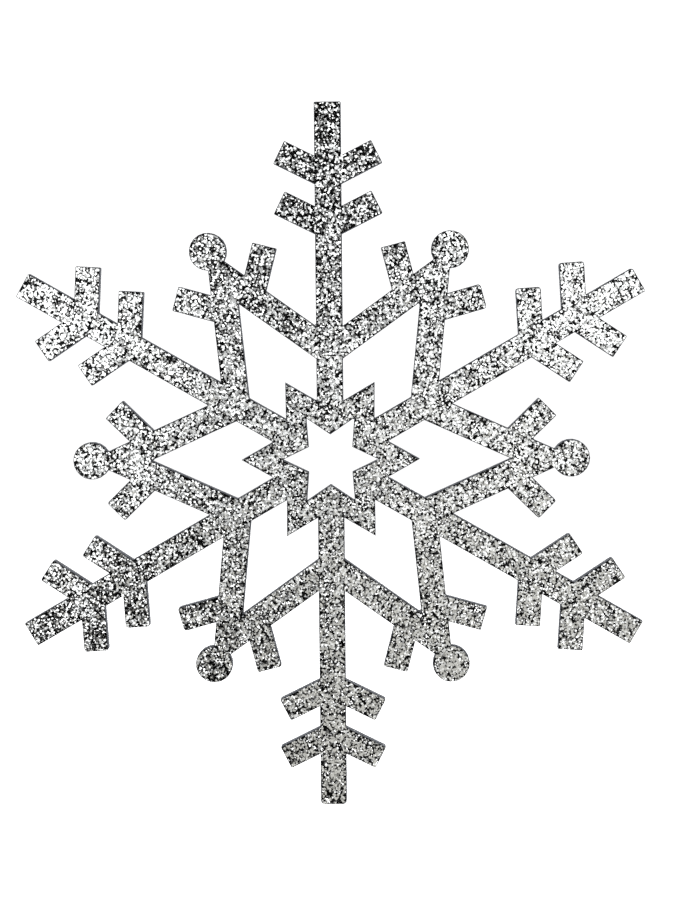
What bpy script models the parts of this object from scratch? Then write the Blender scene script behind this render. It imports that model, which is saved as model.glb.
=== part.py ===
"""A six-armed snowflake cut-out: a board core faced front and back with glitter paper.

Metres, +Z up. The snowflake hangs upright with one arm along +Z and its front towards -Y, and
its origin is the middle of the cut-out. All three layers have the same die-cut outline, which
is worked out in one plane with complex numbers: the real part is X, the imaginary part is Z.
"""

import cmath
import math

import bpy

# The six arms, and the square-ended branches that leave each arm in mirrored pairs.
ARM_LENGTH = 0.160
ARM_WIDTH = 0.012
BRANCH_WIDTH = 0.0113
BRANCH_RISE = math.radians(26.5)  # above square to the arm
BRANCH_REACH = 0.0219  # from the arm's axis to the middle of a branch's end
BRANCH_HEIGHTS = (0.1270, 0.1047)  # where a branch's axis leaves the arm's axis

# The struts that lean from arm to arm. Two meet between two arms, under a ball.
STRUT_WIDTH = 0.012
STRUT_RISE = math.radians(35.7)
STRUT_HEIGHT = 0.0487

# One twig on the outer side of each strut, placed by the line from the middle to the ball.
TWIG_WIDTH = 0.0113
TWIG_SPLAY = math.radians(44.5)
TWIG_END_ALONG = 0.0981
TWIG_END_ASIDE = 0.0234

# The balls between the arms.
BALL_DISTANCE = 0.1087
BALL_RADIUS = 0.0085
BALL_ARC_STEPS = 9  # over half of a ball

# The star in the middle, whose points lie between the arms, and the hole through it.
STAR_POINT = 0.0404
STAR_NOTCH = 0.0231
HOLE_POINT = 0.0217
HOLE_NOTCH = 0.0114

# The outer corners are slightly round, and handling has worn some rounder: for each half of an
# arm, clockwise from the right half of the top arm, the radius at its tip and the radius on its
# branches and twig.
CORNER_RADII = (
    (0.0005, 0.0005),
    (0.0012, 0.0013),
    (0.0005, 0.0005),
    (0.0005, 0.0009),
    (0.0005, 0.0005),
    (0.0017, 0.0009),
    (0.0017, 0.0009),
    (0.0005, 0.0013),
    (0.0006, 0.0009),
    (0.0006, 0.0006),
    (0.0006, 0.0006),
    (0.0005, 0.0005),
)
CORNER_STEPS = 3

# The layers, front to back. Facing layers keep this gap, the depth of the glue line.
CORE_THICKNESS = 0.0027
SHEET_THICKNESS = 0.0004
GLUE_LINE = 0.0003

ARMS = 6
ARM_PITCH = math.tau / ARMS
ARM_ANGLE = math.pi / 2
BALL_ANGLE = ARM_ANGLE - ARM_PITCH / 2


def heading(angle):
    return cmath.exp(1j * angle)


def meet(start, direction, other_start, other_direction):
    """The point where two straight edges cross."""
    across = (direction.conjugate() * other_direction).imag
    along = ((other_start - start).conjugate() * other_direction).imag / across
    return start + along * direction


def square_end(end, direction, width):
    """The two corners of a bar that ends square at end: first the left one, then the right."""
    aside = 1j * direction * width / 2
    return end + aside, end - aside


def rounded(before, corner, after, radius):
    """An arc in place of a corner that turns through a right angle."""
    to_before = (before - corner) / abs(before - corner)
    to_after = (after - corner) / abs(after - corner)
    centre = corner + radius * (to_before + to_after)
    steps = [i / CORNER_STEPS * math.pi / 2 for i in range(CORNER_STEPS + 1)]
    return [centre - radius * (to_after * math.cos(a) + to_before * math.sin(a)) for a in steps]


def bar_end(foot, left, right, other_foot, radius):
    """The free end of a bar, from one foot round both corners to the other foot."""
    corners = rounded(foot, left, right, radius) + rounded(left, right, other_foot, radius)
    return [foot, *corners, other_foot]


def branch(height, radius):
    """A branch on the right of the upright arm, from its upper foot to its lower foot."""
    direction = heading(BRANCH_RISE)
    end = complex(BRANCH_REACH, height + BRANCH_REACH * math.tan(BRANCH_RISE))
    upper, lower = square_end(end, direction, BRANCH_WIDTH)
    upper_foot = meet(upper, direction, ARM_WIDTH / 2, 1j)
    lower_foot = meet(lower, direction, ARM_WIDTH / 2, 1j)
    return bar_end(upper_foot, upper, lower, lower_foot, radius)


def strut_edge(side):
    """A point and the direction of a strut's outer (+1) or inner (-1) edge."""
    direction = heading(STRUT_RISE)
    return complex(0, STRUT_HEIGHT) + side * 1j * direction * STRUT_WIDTH / 2, direction


def twig(radius):
    """The twig on the strut, from its foot nearer the arm to its foot nearer the ball."""
    end = heading(BALL_ANGLE) * complex(TWIG_END_ALONG, TWIG_END_ASIDE)
    direction = heading(BALL_ANGLE + TWIG_SPLAY)
    left, right = square_end(end, direction, TWIG_WIDTH)
    left_foot = meet(left, direction, *strut_edge(1))
    right_foot = meet(right, direction, *strut_edge(1))
    return bar_end(left_foot, left, right, right_foot, radius)


def half_ball():
    """The ball's edge from the strut that runs into it to the line through its middle."""
    centre = BALL_DISTANCE * heading(BALL_ANGLE)
    start, direction = strut_edge(1)
    nearest = start + ((centre - start) * direction.conjugate()).real * direction
    neck = nearest - direction * math.sqrt(BALL_RADIUS**2 - abs(nearest - centre) ** 2)
    first = cmath.phase((neck - centre) / heading(BALL_ANGLE))
    angles = [BALL_ANGLE + first * (1 - i / BALL_ARC_STEPS) for i in range(BALL_ARC_STEPS + 1)]
    return [centre + BALL_RADIUS * heading(a) for a in angles]


def half_sector(tip_radius, radius):
    """The outer edge from the upright arm's tip to the end of the ball on its right."""
    tip_left, tip_right = square_end(complex(0, ARM_LENGTH), 1j, ARM_WIDTH)
    points = rounded(tip_left, tip_right, complex(ARM_WIDTH / 2, 0), tip_radius)
    for height in BRANCH_HEIGHTS:
        points += branch(height, radius)
    points.append(meet(*strut_edge(1), ARM_WIDTH / 2, 1j))
    return points + twig(radius) + half_ball()


def mirrored(points):
    """The same run of points beyond the line through the ball, in the order that carries on."""
    return [point.conjugate() * heading(2 * BALL_ANGLE) for point in reversed(points)]


def outer_outline():
    points = []
    for turn in range(ARMS):
        half, next_half = (half_sector(*CORNER_RADII[2 * turn + i]) for i in range(2))
        sector = half + mirrored(next_half)[1:]
        points += [point * heading(-turn * ARM_PITCH) for point in sector]
    return points


def window():
    """The opening between two arms, two struts and a point of the star."""
    star_point = STAR_POINT * heading(BALL_ANGLE)
    star_edge = complex(0, STAR_NOTCH) - star_point
    half = [
        meet(star_point, star_edge, ARM_WIDTH / 2, 1j),
        meet(*strut_edge(-1), ARM_WIDTH / 2, 1j),
    ]
    outer_point = meet(*strut_edge(-1), 0, heading(BALL_ANGLE))
    return [star_point, *half, outer_point, *mirrored(half)]


def star_hole():
    pair = (HOLE_POINT * heading(BALL_ANGLE), HOLE_NOTCH * heading(ARM_ANGLE))
    return [point * heading(turn * ARM_PITCH) for turn in range(ARMS) for point in pair]


def outlines():
    """Every closed edge of the cut-out: the outer one, six windows and the hole in the star."""
    windows = [[point * heading(turn * ARM_PITCH) for point in window()] for turn in range(ARMS)]
    return [outer_outline(), *windows, star_hole()]


def surface(name, colour, roughness, metallic):
    material = bpy.data.materials.new(name)
    material.use_nodes = True
    shader = material.node_tree.nodes["Principled BSDF"]
    shader.inputs["Base Color"].default_value = (*colour, 1)
    shader.inputs["Roughness"].default_value = roughness
    shader.inputs["Metallic"].default_value = metallic
    return material


def layer(name, middle_y, thickness, material):
    """One die-cut layer: a filled flat curve, extruded half its thickness each way."""
    curve = bpy.data.curves.new(name, "CURVE")
    curve.dimensions = "2D"
    curve.fill_mode = "BOTH"
    curve.extrude = thickness / 2
    for outline in outlines():
        spline = curve.splines.new("POLY")
        spline.points.add(len(outline) - 1)
        for point, place in zip(spline.points, outline):
            point.co = (place.real, place.imag, 0, 1)
        spline.use_cyclic_u = True
    curve.materials.append(material)
    piece = bpy.data.objects.new(name, curve)
    piece.location = (0, middle_y, 0)
    piece.rotation_euler = (math.radians(90), 0, 0)
    bpy.context.scene.collection.objects.link(piece)


def build():
    for leftover in list(bpy.data.objects):
        bpy.data.objects.remove(leftover)
    board = surface("grey_board", (0.30, 0.30, 0.29), 0.9, 0.0)
    glitter = surface("silver_glitter_paper", (0.66, 0.66, 0.65), 0.3, 1.0)
    sheet_y = CORE_THICKNESS / 2 + GLUE_LINE + SHEET_THICKNESS / 2
    layer("front_glitter_sheet", -sheet_y, SHEET_THICKNESS, glitter)
    layer("core_board", 0, CORE_THICKNESS, board)
    layer("back_glitter_sheet", sheet_y, SHEET_THICKNESS, glitter)


build()
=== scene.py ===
"""Looks of the glitter snowflake: silver flakes on both faces and on the cut edge of its board.

Metres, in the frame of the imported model: the snowflake hangs upright, one arm along +Z, and its
front faces -Y. Every flake is a small closed solid of its own, a flat hexagon that comes to a
point in the glue behind it, and each sits at its own tilt, so that it mirrors its own bit of the
studio. Shapes that lie flat in the card are worked out as points in X and Z.
"""

import math

import bpy
import numpy as np
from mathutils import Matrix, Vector
from mathutils.geometry import delaunay_2d_cdt


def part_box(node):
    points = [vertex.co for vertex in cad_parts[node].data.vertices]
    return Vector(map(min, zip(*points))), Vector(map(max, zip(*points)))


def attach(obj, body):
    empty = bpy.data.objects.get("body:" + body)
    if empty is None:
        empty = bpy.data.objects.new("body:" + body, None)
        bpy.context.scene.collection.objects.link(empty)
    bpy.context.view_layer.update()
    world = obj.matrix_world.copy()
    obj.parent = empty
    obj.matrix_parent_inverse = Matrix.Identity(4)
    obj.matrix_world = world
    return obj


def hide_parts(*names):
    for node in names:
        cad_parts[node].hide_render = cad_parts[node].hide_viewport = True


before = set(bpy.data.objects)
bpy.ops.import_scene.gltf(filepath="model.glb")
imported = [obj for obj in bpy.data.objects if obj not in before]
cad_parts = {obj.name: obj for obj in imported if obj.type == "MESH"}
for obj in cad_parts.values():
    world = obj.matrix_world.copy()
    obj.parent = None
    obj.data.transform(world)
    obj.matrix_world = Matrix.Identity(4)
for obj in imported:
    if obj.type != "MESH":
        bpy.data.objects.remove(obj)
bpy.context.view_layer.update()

SEED = 7
ARMS = 6

# The glitter on the two faces. A radius or a corner's reach varies by a share of the radius.
FLAKE_CORNERS = 6
FLAKE_RADIUS = 0.00056
FLAKE_RADIUS_SPREAD = 0.12
FLAKE_RADIUS_LIMIT = 0.3
FLAKE_CORNER_REACH = (0.88, 1.12)
FLAKE_PITCH = 0.00075
FLAKE_JITTER = 0.40
FLAKE_DEPTH = 0.00016
SEAT_SPREAD = 0.00010
FLAT_TILT = math.radians(4.5)
LOOSE_TILT = math.radians(22.0)
STEEPEST_SLOPE = 0.7
LOOSE_SCALE = 0.76

# The share of flakes that the die and handling left loose. More are loose near a cut edge.
LOOSE_SHARE = 0.38
LOOSE_AT_EDGE = 0.36
LOOSE_EDGE_DEPTH = 0.0016
LOOSE_PATCHES = 0.15

# Noise over a face: a sum of waves of these lengths, from the shortest to the longest.
PATCH_WAVES = 24
PATCH_SIZES = (0.006, 0.020)

# Along the edge: a row of flakes this far in, and painted shade there: within this width a share of
# the flakes has its tone cut down to near black.
RIM_ROW = (0.0003, 0.0006)
RIM_WIDTH = 0.0006
RIM_SHADE_SHARE = 0.3
RIM_SHADE_TONE = 0.05

# The cut slants a little: the front sheet is this much smaller all round than the board.
FRONT_INSET = 0.00027

# The cut leaves a bare lip of paper round the flakes, which slopes down to the edge.
LIP_WIDTH = 0.00010
LIP_DROPS = (0.00014, 0.00008)

# The glue and paper under the flakes: how far it lies under their tops, and over the board.
BED_DROP = 0.00030
BED_GAP = 0.00002
BED_SPACING = 0.0014
BED_ROWS = (0.0001, 0.0002, 0.0010)
BED_ROW_SLACK = 0.97
BED_RELIEF = 0.00003
BED_CUT = 0.5

# The glitter dust on the cut edge of the board.
DUST_RADIUS = 0.00036
DUST_SIZES = (0.7, 1.2)
DUST_PER_METRE = 300
DUST_DEPTH = 0.00012
DUST_TILT = math.radians(22.0)
DUST_STEEPEST_SLOPE = 0.8
DUST_PROUD = 0.00006

# How near two points of the outline are the same, or a point is in the sheet's front plane.
OUTLINE_DECIMALS = 7
PLANE_TOLERANCE = 1e-5
FILL_TOLERANCE = 1e-7
LEAST_DISTANCE = 1e-9

# Each flake has a cell of its own in the bake's square. This is its radius there, in cells.
CELL_RADIUS = 0.36

# The grey of a flake by its tone, a random number from 0 to 1: most are bright silver; the dark and
# middle greys are painted reflection, flakes coloured as if they mirrored darkness.
FLAKE_GREYS = ((0.0, 0.004), (0.18, 0.007), (0.20, 0.55), (0.30, 0.84), (1.0, 0.97))
FLAKE_BLUE = 0.99
FLAKE_ROUGHNESS = (0.10, 0.03)

# Dark glue, made near black partly as painted shade in the gaps between flakes and on the lip, and
# the grey paper and board that show where they are cut.
GLUE_AND_SHADE_DARK = (0.004, 0.004, 0.005)
GLUE_AND_SHADE_PALE = (0.020, 0.020, 0.020)
CUT_DARK = (0.09, 0.095, 0.108)
CUT_PALE = (0.20, 0.21, 0.232)
BUMP_HEIGHT = 0.0001

# The camera, placed from the middle of the snowflake.
CAMERA_DISTANCE = 0.780
CAMERA_ELEVATION = math.radians(5.660)
CAMERA_AZIMUTH = math.radians(1.937)
CAMERA_ROLL = math.radians(-0.540)
CAMERA_AIM = (0.00336, 0.0, 0.00418)
CAMERA_LENS_MM = 68.70
CAMERA_SENSOR_MM = 36.0

# The cards that each face mirrors: the name, the middle in X and Z, half of the width and of the
# height, the colour and the strength.
COOL_WHITE = (0.975, 0.995, 1.0)
WARM_WHITE = (1.0, 0.995, 0.935)
PURE_WHITE = (1, 1, 1)
FACE_CARDS = (
    ("left_softbox", (-0.44, 0.10), (0.35, 0.38), COOL_WHITE, 1.95),
    ("right_softbox", (0.38, 0.14), (0.38, 0.37), COOL_WHITE, 1.95),
    ("low_card", (0.115, -0.33), (0.315, 0.34), WARM_WHITE, 0.61),
    ("middle_card", (0.03, -0.07), (0.26, 0.15), COOL_WHITE, 0.60),
)
FACE_CARD_DISTANCE = 0.80
FACE_CARD_SOFTNESS = 0.3

# The softboxes all round.
DOME_CARDS = 90
DOME_RADIUS = 1.6
DOME_CARD_HALF = 0.27
DOME_GAP = math.radians(42)
DOME_LIGHT = 1.9
DOME_SOFTNESS = 0.1
GOLDEN_ANGLE = math.pi * (3 - math.sqrt(5))

# A broad softbox low on each side of each face, to light views from the side.
SIDE_DISTANCE = 1.3
SIDE_AZIMUTH = math.radians(48)
SIDE_ELEVATION = math.radians(-18)
SIDE_HALF = 0.50
SIDE_LIGHT = 0.8
SIDE_SOFTNESS = 0.6

WORLD_GREY = (0.5, 0.5, 0.5, 1)
WORLD_LIGHT = 0.008

# The pale floor, and the wall that it curves up into.
FLOOR_Z = -0.30
BEND_RADIUS = 0.8
BEND_STEPS = 12
WALL_RADIUS = 4.0
WALL_TOP = 5.0
WALL_SIDES = 64
FLOOR_COLOUR = (0.9, 0.9, 0.9, 1)


# The die-cut outline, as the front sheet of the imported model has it.


def open_sides(triangles):
    """The sides that only one triangle has, each in that triangle's direction."""
    sides = np.concatenate([triangles[:, [0, 1]], triangles[:, [1, 2]], triangles[:, [2, 0]]])
    ends = np.sort(sides, axis=1)
    _, first, count = np.unique(ends, axis=0, return_index=True, return_counts=True)
    return sides[first[count == 1]]


def outline_edges(node):
    """The outline as directed edges, with the card on the left of each."""
    mesh = node.data
    places = np.array([vertex.co for vertex in mesh.vertices])
    mesh.calc_loop_triangles()
    triangles = np.array([triangle.vertices for triangle in mesh.loop_triangles])
    front = places[:, 1].min() + PLANE_TOLERANCE
    triangles = triangles[(places[triangles][:, :, 1] < front).all(axis=1)]
    flat = np.round(places[:, [0, 2]], OUTLINE_DECIMALS)
    spots, index = np.unique(flat, axis=0, return_inverse=True)
    rim = open_sides(index.reshape(-1)[triangles])
    return spots[rim[:, 0]], spots[rim[:, 1]]


def ways_in(run):
    """The direction square to each edge, into the card."""
    return np.stack([-run[:, 1], run[:, 0]], axis=1) / np.linalg.norm(run, axis=1)[:, None]


def corners_of(starts, ends):
    """Each corner once, and the numbers of the corners where each edge starts and ends."""
    corners, index = np.unique(np.concatenate([starts, ends]), axis=0, return_inverse=True)
    return corners, index.reshape(2, -1)


def moved_in(starts, ends, depth):
    """The outline's edges, each moved in by this depth and still meeting its neighbours."""
    corners, index = corners_of(starts, ends)
    inward = ways_in(ends - starts)
    leaving, arriving = np.empty_like(corners), np.empty_like(corners)
    leaving[index[0]] = inward
    arriving[index[1]] = inward
    bend = 1 + (leaving * arriving).sum(axis=1)
    corners = corners + depth * (leaving + arriving) / bend[:, None]
    return corners[index[0]], corners[index[1]]


def in_batches(points, task, size=4000):
    """The task's answers for all the points, worked out a batch at a time to spare memory."""
    return np.concatenate([task(points[i : i + size]) for i in range(0, len(points), size)])


def inside(points, starts, ends):
    """Whether each point is on the card: a line to its right then crosses an odd count of edges."""

    def test(batch):
        x, z = batch[:, :1], batch[:, 1:]
        spans = (starts[:, 1] > z) != (ends[:, 1] > z)
        rise = np.where(ends[:, 1] == starts[:, 1], 1.0, ends[:, 1] - starts[:, 1])
        crossing = starts[:, 0] + (z - starts[:, 1]) / rise * (ends[:, 0] - starts[:, 0])
        return (spans & (crossing > x)).sum(axis=1) % 2 == 1

    return in_batches(points, test)


def nearest_on_outline(points, starts, ends):
    """The outline's nearest spot to each point."""
    run = ends - starts
    length = (run**2).sum(axis=1)

    def find(batch):
        offset = batch[:, None] - starts
        along = np.clip((offset * run).sum(axis=2) / length, 0, 1)
        spots = starts + along[:, :, None] * run
        best = ((spots - batch[:, None]) ** 2).sum(axis=2).argmin(axis=1)
        return spots[np.arange(len(batch)), best]

    return in_batches(points, find)


def distance_to_edge(points, starts, ends):
    return np.linalg.norm(nearest_on_outline(points, starts, ends) - points, axis=1)


def along_outline(starts, ends, spacing):
    """Points along the outline, about this far apart, and the way in from each."""
    run = ends - starts
    steps = np.maximum(1, np.round(np.linalg.norm(run, axis=1) / spacing)).astype(int)
    edge = np.repeat(np.arange(len(steps)), steps)
    before = np.repeat(np.cumsum(steps) - steps, steps)
    place = (np.arange(steps.sum()) - before + 0.5) / steps[edge]
    return starts[edge] + run[edge] * place[:, None], ways_in(run)[edge]


def kept_in(points, starts, ends, gap):
    """The points, with each that is off the card or nearer its edge than gap moved in to that gap."""
    spots = nearest_on_outline(points, starts, ends)
    inward = points - spots
    distance = np.linalg.norm(inward, axis=1)
    off = ~inside(points, starts, ends)
    inward[off] *= -1
    inward /= np.maximum(distance, LEAST_DISTANCE)[:, None]
    return np.where((off | (distance < gap))[:, None], spots + inward * gap, points)


def in_space(flat, y):
    """Points of the card's plane, given by X and Z, put at these depths."""
    return np.stack([flat[..., 0], y, flat[..., 1]], axis=-1)


# Patterns.


def face_word(side):
    """The name of a face. side is -1 for the front and +1 for the back."""
    return "front" if side < 0 else "back"


def lattice(half_width, half_height, pitch, rng):
    """Points over a whole rectangle: rows of a triangular lattice, each point shaken."""
    rows = np.arange(-half_height, half_height, pitch * math.sqrt(3) / 2)
    columns = np.arange(-half_width, half_width, pitch)
    z, x = np.meshgrid(rows, columns, indexing="ij")
    x = x + (np.arange(len(rows)) % 2)[:, None] * pitch / 2
    points = np.stack([x.ravel(), z.ravel()], axis=1)
    return points + rng.uniform(-1, 1, points.shape) * FLAKE_JITTER * pitch


def patches(points, rng):
    """Smooth noise over the face, about -2 to 2: plane waves of mixed directions and lengths."""
    angle = rng.uniform(0, math.pi, PATCH_WAVES)
    number = math.tau / np.geomspace(*PATCH_SIZES, PATCH_WAVES)
    wave = number * np.stack([np.cos(angle), np.sin(angle)])
    heights = np.cos(points @ wave + rng.uniform(0, math.tau, PATCH_WAVES))
    return heights.sum(axis=1) / math.sqrt(PATCH_WAVES / 2)


def corner_angles(first):
    """The angles of each flake's corners, from the angle of its first corner."""
    return first + np.arange(FLAKE_CORNERS) / FLAKE_CORNERS * math.tau


# Flakes.


def flake_cells(flakes):
    """Where the faces' corners go in the bake's square: all the flat faces, then all the sides."""
    grid = math.ceil(math.sqrt(flakes))
    cell = np.stack([np.arange(flakes) % grid, np.arange(flakes) // grid], axis=1) + 0.5
    angles = corner_angles(0)
    ring = cell[:, None] + CELL_RADIUS * np.stack([np.cos(angles), np.sin(angles)], axis=1)
    next_ring = np.roll(ring, -1, axis=1)
    middle = np.repeat(cell[:, None], FLAKE_CORNERS, axis=1)
    side_spots = np.stack([next_ring, ring, middle], axis=2)
    return np.concatenate([ring.reshape(-1, 2), side_spots.reshape(-1, 2)]) / grid


def flake_mesh(name, rims, tips, tones):
    """One mesh of closed flakes: rims is (flakes, corners, 3), and tips is the point behind each."""
    flakes = len(rims)
    places = np.concatenate([rims, tips[:, None]], axis=1).reshape(-1, 3)
    base = (np.arange(flakes) * (FLAKE_CORNERS + 1))[:, None]
    rim = base + np.arange(FLAKE_CORNERS)
    after = base + (np.arange(FLAKE_CORNERS) + 1) % FLAKE_CORNERS
    tip = np.repeat(base + FLAKE_CORNERS, FLAKE_CORNERS, axis=1)
    sides = np.stack([after, rim, tip], axis=2).reshape(-1, 3)
    mesh = bpy.data.meshes.new(name)
    mesh.from_pydata(places.tolist(), [], rim.tolist() + sides.tolist())
    tone = mesh.attributes.new("tone", "FLOAT", "FACE")
    by_face = np.concatenate([tones, np.repeat(tones, FLAKE_CORNERS)])
    tone.data.foreach_set("value", by_face.astype(np.float32))
    cells = mesh.uv_layers.new(name="OFBake")
    cells.data.foreach_set("uv", flake_cells(flakes).ravel().astype(np.float32))
    return mesh


def placed(name, mesh, material):
    """The mesh as a piece of the snowflake."""
    mesh.materials.append(material)
    piece = bpy.data.objects.new(name, mesh)
    bpy.context.scene.collection.objects.link(piece)
    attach(piece, "root")
    return piece


def flake_centres(starts, ends, half_width, half_height, rng):
    """The middles of a face's flakes: a lattice over the card, and a row along its edge."""
    rim, inward = along_outline(starts, ends, FLAKE_PITCH)
    rim_row = rim + inward * rng.uniform(*RIM_ROW, (len(rim), 1))
    centres = np.concatenate([lattice(half_width, half_height, FLAKE_PITCH, rng), rim_row])
    return centres[inside(centres, starts, ends)]


def chosen_loose(centres, to_edge, rng):
    """Whether each flake is loose."""
    share = LOOSE_SHARE + LOOSE_AT_EDGE * np.exp(-to_edge / LOOSE_EDGE_DEPTH)
    share += LOOSE_PATCHES * patches(centres, rng)
    return rng.random(len(centres)) < share


def flake_rims(centres, to_edge, loose, starts, ends, rng):
    """Each flake's six corners, a little uneven, with those past the lip moved in to it."""
    count = len(centres)
    spread = rng.normal(0, FLAKE_RADIUS_SPREAD, count)
    radius = FLAKE_RADIUS * (1 + spread.clip(-FLAKE_RADIUS_LIMIT, FLAKE_RADIUS_LIMIT))
    radius[loose] *= LOOSE_SCALE
    angles = corner_angles(rng.uniform(0, math.tau, (count, 1)))
    reach = radius[:, None] * rng.uniform(*FLAKE_CORNER_REACH, (count, FLAKE_CORNERS))
    spokes = np.stack([np.cos(angles), np.sin(angles)], axis=2)
    rims = centres[:, None] + reach[:, :, None] * spokes
    near = to_edge < reach.max(axis=1) + LIP_WIDTH
    clipped = kept_in(rims[near].reshape(-1, 2), starts, ends, LIP_WIDTH)
    rims[near] = clipped.reshape(-1, FLAKE_CORNERS, 2)
    return rims


def flake_tones(to_edge, rng):
    """A number from 0 to 1 for each flake, which its grey and its gloss follow."""
    tones = rng.random(len(to_edge))
    # Painted shade: near the edge a share of the flakes is made dark.
    edge_shade = (to_edge < RIM_WIDTH) & (rng.random(len(to_edge)) < RIM_SHADE_SHARE)
    tones[edge_shade] *= RIM_SHADE_TONE
    return tones


def face_glitter(side, starts, ends, material, rng):
    """One face's flakes, in a piece for each arm."""
    word = face_word(side)
    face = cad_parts[f"{word}_glitter_sheet"]
    low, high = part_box(face.name)
    top = low.y if side < 0 else high.y
    centres = flake_centres(starts, ends, high.x, high.z, rng)
    to_edge = distance_to_edge(centres, starts, ends)
    loose = chosen_loose(centres, to_edge, rng)
    rims = flake_rims(centres, to_edge, loose, starts, ends, rng)
    centres = rims.mean(axis=1)

    # Each flake tilts about its middle, and its highest corner is no higher than the sheet's top.
    spread = np.where(loose, LOOSE_TILT, FLAT_TILT)
    tilt = rng.normal(0, 1, (len(centres), 2)) * spread[:, None]
    slope = np.tan(tilt).clip(-STEEPEST_SLOPE, STEEPEST_SLOPE)
    height = ((rims - centres[:, None]) * slope[:, None]).sum(axis=2)
    seat = height.max(axis=1) + rng.uniform(0, SEAT_SPREAD, len(centres))
    solid = in_space(rims, top - side * (seat[:, None] - height))
    tips = in_space(centres, top - side * (seat + FLAKE_DEPTH))
    if side > 0:
        solid = solid[:, ::-1]
    tones = flake_tones(to_edge, rng)

    turn = np.arctan2(centres[:, 0], centres[:, 1]) / math.tau
    sector = np.floor((turn * ARMS + 0.5) % ARMS).astype(int)
    for arm in range(ARMS):
        own = sector == arm
        mesh = flake_mesh(f"{word}_glitter_{arm + 1}", solid[own], tips[own], tones[own])
        placed(mesh.name, mesh, material)


def edge_glitter(starts, ends, material, rng):
    """Flakes stuck to the board's cut edge, lying nearly flat on it."""
    low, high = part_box("core_board")
    run = ends - starts
    length = np.linalg.norm(run, axis=1)
    count = int(length.sum() * DUST_PER_METRE)
    pick = rng.choice(len(length), count, p=length / length.sum())
    spot = starts[pick] + run[pick] * rng.random(count)[:, None]
    depth = rng.uniform(low.y + DUST_RADIUS / 2, high.y - DUST_RADIUS / 2, count)
    centre = in_space(spot, depth)

    # Three directions for each flake: along the edge, out of it, and across it in Y.
    level = np.zeros(count)
    along = in_space(run[pick] / length[pick][:, None], level)
    out = np.stack([along[:, 2], level, -along[:, 0]], axis=1)
    across = np.cross(out, along)
    angles = corner_angles(rng.uniform(0, math.tau, count)[:, None])
    radius = DUST_RADIUS * rng.uniform(*DUST_SIZES, (count, 1))
    by_along, by_across = radius * np.cos(angles), radius * np.sin(angles)
    tilt = rng.normal(0, DUST_TILT, (count, 2))
    slope = np.tan(tilt).clip(-DUST_STEEPEST_SLOPE, DUST_STEEPEST_SLOPE)
    height = by_along * slope[:, :1] + by_across * slope[:, 1:]
    seat = DUST_PROUD - height.max(axis=1, keepdims=True)
    height = height + seat

    rims = centre[:, None] + by_along[:, :, None] * along[:, None]
    rims = rims + by_across[:, :, None] * across[:, None]
    rims = rims + height[:, :, None] * out[:, None]
    tips = centre + (seat - DUST_DEPTH) * out
    mesh = flake_mesh("edge_glitter", rims, tips, rng.random(count))
    placed("edge_glitter", mesh, material)


# The glue and paper that the flakes sit in.


def bed_points(starts, ends, rng):
    """Points inside the outline for the bed's surface: rows along the edge, and a loose lattice."""
    rim, inward = along_outline(starts, ends, BED_SPACING)
    rows = np.concatenate([rim + inward * depth for depth in BED_ROWS])
    depths = np.repeat(BED_ROWS, len(rim))
    field = lattice(np.abs(starts[:, 0]).max(), np.abs(starts[:, 1]).max(), BED_SPACING, rng)
    points = np.concatenate([rows, field])
    least_field = np.full(len(field), BED_ROWS[-1] + BED_SPACING / 3)
    least = np.concatenate([depths * BED_ROW_SLACK, least_field])
    to_edge = distance_to_edge(points, starts, ends)
    return points[inside(points, starts, ends) & (to_edge > least)]


def filled(starts, ends, points):
    """Triangles that fill the outline through these points, all turning to the left."""
    corners, index = corners_of(starts, ends)
    flat = [Vector(point) for point in np.concatenate([corners, points])]
    made = delaunay_2d_cdt(flat, index.T.tolist(), [], 0, FILL_TOLERANCE)
    flat = np.array(made[0])
    triangles = np.array(made[2])
    triangles = triangles[inside(flat[triangles].mean(axis=1), starts, ends)]
    first, second, third = (flat[triangles[:, corner]] for corner in range(3))
    turned = np.cross(second - first, third - first) > 0
    triangles[~turned] = triangles[~turned][:, ::-1]
    return flat, triangles


def bed(side, starts, ends, material, rng):
    """The bed of one face as one closed solid: a lip round a slightly uneven surface."""
    word = face_word(side)
    low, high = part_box(f"{word}_glitter_sheet")
    board_low, board_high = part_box("core_board")
    top = low.y if side < 0 else high.y
    bottom = (board_low.y if side < 0 else board_high.y) + side * BED_GAP
    flat, triangles = filled(starts, ends, bed_points(starts, ends, rng))
    count = len(flat)
    to_edge = distance_to_edge(flat, starts, ends)
    drop = np.interp(to_edge, (0, LIP_WIDTH, 2 * LIP_WIDTH), (*LIP_DROPS, BED_DROP))
    relief = BED_RELIEF * patches(flat, rng) * (to_edge > 2 * LIP_WIDTH)
    upper = in_space(flat, top - side * (drop - relief))
    lower = in_space(flat, np.full(count, bottom))
    tail, head = open_sides(triangles).T
    walls = np.stack([head, tail, tail + count, head + count], axis=1)
    under = triangles[:, ::-1] + count
    if side > 0:
        triangles, under, walls = triangles[:, ::-1], under[:, ::-1], walls[:, ::-1]
    mesh = bpy.data.meshes.new(f"{word}_glue_bed")
    faces = triangles.tolist() + under.tolist() + walls.tolist()
    mesh.from_pydata(np.concatenate([upper, lower]).tolist(), [], faces)
    smooth = np.arange(len(faces)) < len(triangles)
    mesh.polygons.foreach_set("use_smooth", smooth)
    is_wall = np.arange(len(faces)) >= len(faces) - len(walls)
    cut = mesh.attributes.new("cut", "FLOAT", "FACE")
    cut.data.foreach_set("value", np.where(is_wall, BED_CUT, 0.0).astype(np.float32))
    piece = placed(mesh.name, mesh, material)
    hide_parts(f"{word}_glitter_sheet")


# Materials.


def new_material(name):
    material = bpy.data.materials.new(name)
    material.use_nodes = True
    return material, material.node_tree, material.node_tree.nodes["Principled BSDF"]


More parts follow.
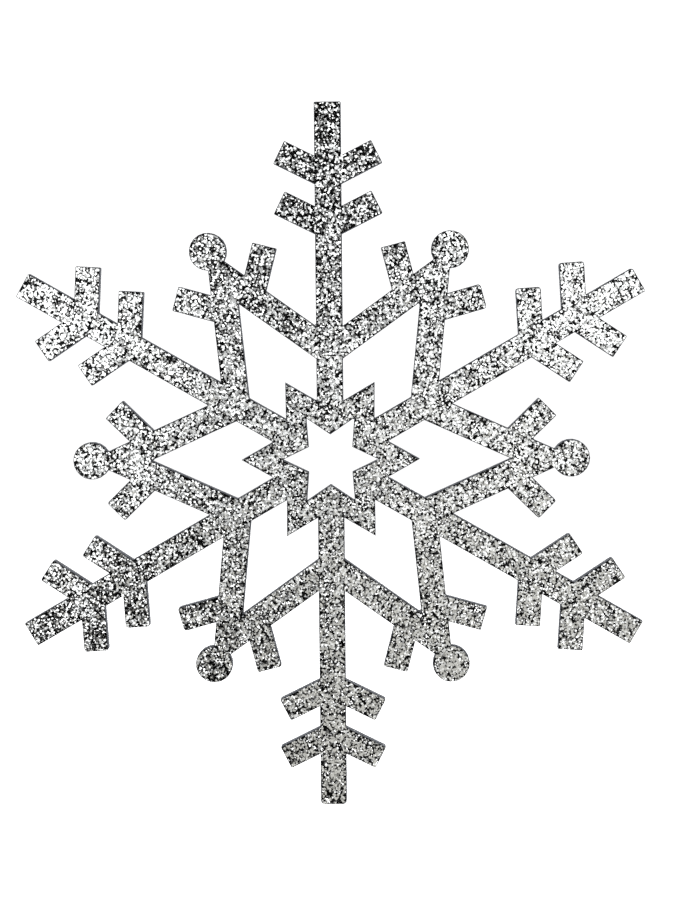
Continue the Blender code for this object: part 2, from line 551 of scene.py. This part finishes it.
def new_ramp(tree, stops):
    """A colour ramp node with these stops, each a position and a colour."""
    ramp = tree.nodes.new("ShaderNodeValToRGB")
    elements = ramp.color_ramp.elements
    for position, _ in stops[1:-1]:
        elements.new(position)
    for element, (position, colour) in zip(elements, stops):
        element.position = position
        element.color = (*colour, 1)
    return ramp


def add_bump(tree, shader, height):
    """A fine bump on the shader, which follows this output."""
    bump = tree.nodes.new("ShaderNodeBump")
    bump.inputs["Distance"].default_value = BUMP_HEIGHT
    tree.links.new(height, bump.inputs["Height"])
    tree.links.new(bump.outputs["Normal"], shader.inputs["Normal"])


def flake_material():
    """Mirror-like flakes, a share of them painted dark as a painted reflection of darkness, each as
    grey and as glossy as its tone says.
    """
    material, tree, shader = new_material("silver_flakes")
    nodes, link = tree.nodes, tree.links.new
    shader.inputs["Metallic"].default_value = 1.0
    tone = nodes.new("ShaderNodeAttribute")
    tone.attribute_name = "tone"
    # Painted reflection: the low stops of this ramp make flakes near black and mid grey.
    ramp = new_ramp(tree, [(place, (grey, grey, grey * FLAKE_BLUE)) for place, grey in FLAKE_GREYS])
    rough = nodes.new("ShaderNodeMapRange")
    rough.inputs["To Min"].default_value = FLAKE_ROUGHNESS[0]
    rough.inputs["To Max"].default_value = FLAKE_ROUGHNESS[1]
    link(tone.outputs["Fac"], ramp.inputs["Fac"])
    link(tone.outputs["Fac"], rough.inputs["Value"])
    link(ramp.outputs["Color"], shader.inputs["Base Color"])
    link(rough.outputs["Result"], shader.inputs["Roughness"])
    return material


def backing_material():
    """Dark glue on the face of the paper, partly painted shade between the flakes and on the lip, and
    grey paper where it is cut.
    """
    material, tree, shader = new_material("glue_shade_and_paper")
    nodes, link = tree.nodes, tree.links.new
    coords = nodes.new("ShaderNodeTexCoord")
    noise = nodes.new("ShaderNodeTexNoise")
    noise.inputs["Scale"].default_value = 900.0
    noise.inputs["Detail"].default_value = 3.0
    cut = nodes.new("ShaderNodeAttribute")
    cut.attribute_name = "cut"
    both = nodes.new("ShaderNodeMath")
    both.operation = "MULTIPLY_ADD"
    both.inputs[1].default_value = 1 - BED_CUT
    ramp = new_ramp(tree, [(0.05, GLUE_AND_SHADE_DARK), (0.45, GLUE_AND_SHADE_PALE), (0.62, CUT_DARK), (0.88, CUT_PALE)])
    link(coords.outputs["Object"], noise.inputs["Vector"])
    link(noise.outputs["Fac"], both.inputs[0])
    link(cut.outputs["Fac"], both.inputs[2])
    link(both.outputs["Value"], ramp.inputs["Fac"])
    link(ramp.outputs["Color"], shader.inputs["Base Color"])
    add_bump(tree, shader, noise.outputs["Fac"])
    shader.inputs["Roughness"].default_value = 0.55
    shader.inputs["Specular IOR Level"].default_value = 0.05
    return material


def board_material():
    """Grey board cut by a die: faint layers through its thickness, with fibres and dust."""
    material, tree, shader = new_material("cut_grey_board")
    nodes, link = tree.nodes, tree.links.new
    coords = nodes.new("ShaderNodeTexCoord")
    stretch = nodes.new("ShaderNodeMapping")
    stretch.inputs["Scale"].default_value = (260, 2600, 260)
    layers = nodes.new("ShaderNodeTexNoise")
    layers.inputs["Scale"].default_value = 1.0
    layers.inputs["Detail"].default_value = 4.0
    ramp = new_ramp(tree, [(0.35, CUT_DARK), (0.70, CUT_PALE)])
    link(coords.outputs["Object"], stretch.inputs["Vector"])
    link(stretch.outputs["Vector"], layers.inputs["Vector"])
    link(layers.outputs["Fac"], ramp.inputs["Fac"])
    link(ramp.outputs["Color"], shader.inputs["Base Color"])
    add_bump(tree, shader, layers.outputs["Fac"])
    shader.inputs["Roughness"].default_value = 0.8
    return material


# The studio.


def soft_light(name, colour, strength, softness):
    """Light that is even in the middle of a card and fades out over its rim."""
    material = bpy.data.materials.new(name)
    material.use_nodes = True
    tree = material.node_tree
    nodes, link = tree.nodes, tree.links.new
    nodes.clear()
    coords = nodes.new("ShaderNodeTexCoord")
    radius = nodes.new("ShaderNodeVectorMath")
    radius.operation = "LENGTH"
    fade = nodes.new("ShaderNodeMapRange")
    fade.interpolation_type = "SMOOTHSTEP"
    fade.inputs["From Min"].default_value = 1 - softness
    fade.inputs["From Max"].default_value = 1.0
    fade.inputs["To Min"].default_value = strength
    fade.inputs["To Max"].default_value = 0.0
    light = nodes.new("ShaderNodeEmission")
    light.inputs["Color"].default_value = (*colour, 1)
    clear = nodes.new("ShaderNodeBsdfTransparent")
    both = nodes.new("ShaderNodeAddShader")
    output = nodes.new("ShaderNodeOutputMaterial")
    link(coords.outputs["UV"], radius.inputs[0])
    link(radius.outputs["Value"], fade.inputs["Value"])
    link(fade.outputs["Result"], light.inputs["Strength"])
    link(light.outputs["Emission"], both.inputs[0])
    link(clear.outputs["BSDF"], both.inputs[1])
    link(both.outputs["Shader"], output.inputs["Surface"])
    return material


def cards(name, places, half_width, half_height, material):
    """Glowing cards that the camera doesn't see. A place is a middle, a way across and a way up."""
    corners, uvs = [], []
    for place, across, up in places:
        for u, v in ((-1, -1), (1, -1), (1, 1), (-1, 1)):
            corners.append(Vector(place) + u * half_width * across + v * half_height * up)
            uvs += [u, v]
    mesh = bpy.data.meshes.new(name)
    mesh.from_pydata(corners, [], [tuple(range(i, i + 4)) for i in range(0, len(corners), 4)])
    mesh.uv_layers.new(name="card").data.foreach_set("uv", uvs)
    mesh.materials.append(material)
    piece = bpy.data.objects.new(name, mesh)
    piece.visible_camera = False
    piece.visible_shadow = False
    bpy.context.scene.collection.objects.link(piece)


def turned_to_middle(aim, distance):
    """The place of a card this far out along aim, facing the middle of the snowflake."""
    across = aim.cross(Vector((0, 0, 1))).normalized()
    return aim * distance, across, across.cross(aim)


def direction(azimuth, elevation):
    """The way from the middle: azimuth 0 is to the front, and a quarter turn is to the right."""
    level = math.cos(elevation)
    return Vector((math.sin(azimuth) * level, -math.cos(azimuth) * level, math.sin(elevation)))


def face_cards():
    upright = (Vector((1, 0, 0)), Vector((0, 0, 1)))
    for side in (-1, 1):
        for word, (x, z), halves, colour, strength in FACE_CARDS:
            name = f"{face_word(side)}_{word}"
            light = soft_light(name, colour, strength, FACE_CARD_SOFTNESS)
            cards(name, [((x, side * FACE_CARD_DISTANCE, z), *upright)], *halves, light)


def light_dome():
    """Small softboxes all round, apart from the fronts of the two faces, so loose flakes glint."""
    places = []
    for i in range(DOME_CARDS):
        height = 1 - (2 * i + 1) / DOME_CARDS
        turn = i * GOLDEN_ANGLE
        level = math.sqrt(1 - height**2)
        aim = Vector((level * math.cos(turn), level * math.sin(turn), height))
        if abs(aim.y) <= math.cos(DOME_GAP):
            places.append(turned_to_middle(aim, DOME_RADIUS))
    light = soft_light("dome", PURE_WHITE, DOME_LIGHT, DOME_SOFTNESS)
    cards("light_dome", places, DOME_CARD_HALF, DOME_CARD_HALF, light)


def side_cards():
    places = []
    for turn in (SIDE_AZIMUTH, math.pi - SIDE_AZIMUTH, math.pi + SIDE_AZIMUTH, -SIDE_AZIMUTH):
        places.append(turned_to_middle(direction(turn, SIDE_ELEVATION), SIDE_DISTANCE))
    light = soft_light("side", PURE_WHITE, SIDE_LIGHT, SIDE_SOFTNESS)
    cards("side_cards", places, SIDE_HALF, SIDE_HALF, light)


def studio():
    face_cards()
    light_dome()
    side_cards()
    world = bpy.data.worlds.new("studio")
    bpy.context.scene.world = world
    world.use_nodes = True
    background = world.node_tree.nodes["Background"]
    background.inputs["Color"].default_value = WORLD_GREY
    background.inputs["Strength"].default_value = WORLD_LIGHT


def backdrop():
    """A pale floor that curves up into a pale wall all round."""
    profile = [(0.0, FLOOR_Z)]
    for i in range(BEND_STEPS + 1):
        angle = i / BEND_STEPS * math.pi / 2
        radius = WALL_RADIUS - BEND_RADIUS + BEND_RADIUS * math.sin(angle)
        profile.append((radius, FLOOR_Z + BEND_RADIUS * (1 - math.cos(angle))))
    profile += [(WALL_RADIUS, WALL_TOP - BEND_RADIUS), (0.0, WALL_TOP)]
    places, faces = [], []
    for radius, z in profile:
        for turn in range(WALL_SIDES):
            angle = turn / WALL_SIDES * math.tau
            places.append((radius * math.cos(angle), radius * math.sin(angle), z))
    for ring in range(len(profile) - 1):
        for turn in range(WALL_SIDES):
            here = ring * WALL_SIDES + turn
            beside = ring * WALL_SIDES + (turn + 1) % WALL_SIDES
            faces.append((here, beside, beside + WALL_SIDES, here + WALL_SIDES))
    mesh = bpy.data.meshes.new("floor")
    mesh.from_pydata(places, [], faces)
    material, _, shader = new_material("pale_floor")
    shader.inputs["Base Color"].default_value = FLOOR_COLOUR
    shader.inputs["Roughness"].default_value = 0.9
    shader.inputs["Emission Color"].default_value = (*PURE_WHITE, 1)
    shader.inputs["Emission Strength"].default_value = 1.0
    mesh.materials.append(material)
    floor = bpy.data.objects.new("floor", mesh)
    floor.visible_glossy = False
    floor.visible_diffuse = False
    floor.visible_shadow = False
    bpy.context.scene.collection.objects.link(floor)


def camera():
    data = bpy.data.cameras.new("camera")
    data.lens = CAMERA_LENS_MM
    data.sensor_width = CAMERA_SENSOR_MM
    place = CAMERA_DISTANCE * direction(CAMERA_AZIMUTH, CAMERA_ELEVATION)
    piece = bpy.data.objects.new("camera", data)
    piece.location = place
    piece.rotation_euler = (Vector(CAMERA_AIM) - place).to_track_quat("-Z", "Y").to_euler()
    piece.rotation_euler.rotate_axis("Z", CAMERA_ROLL)
    bpy.context.scene.collection.objects.link(piece)
    bpy.context.scene.camera = piece


def build():
    rng = np.random.default_rng(SEED)
    starts, ends = outline_edges(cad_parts["front_glitter_sheet"])
    flakes = flake_material()
    backing = backing_material()
    for side, outline in ((-1, moved_in(starts, ends, FRONT_INSET)), (1, (starts, ends))):
        bed(side, *outline, backing, rng)
        face_glitter(side, *outline, flakes, rng)
    edge_glitter(starts, ends, flakes, rng)
    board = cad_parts["core_board"]
    board.data.materials.clear()
    board.data.materials.append(board_material())
    studio()
    backdrop()
    camera()
    bpy.context.scene.view_settings.view_transform = "Standard"
    bpy.context.scene.cycles.use_denoising = False


build()
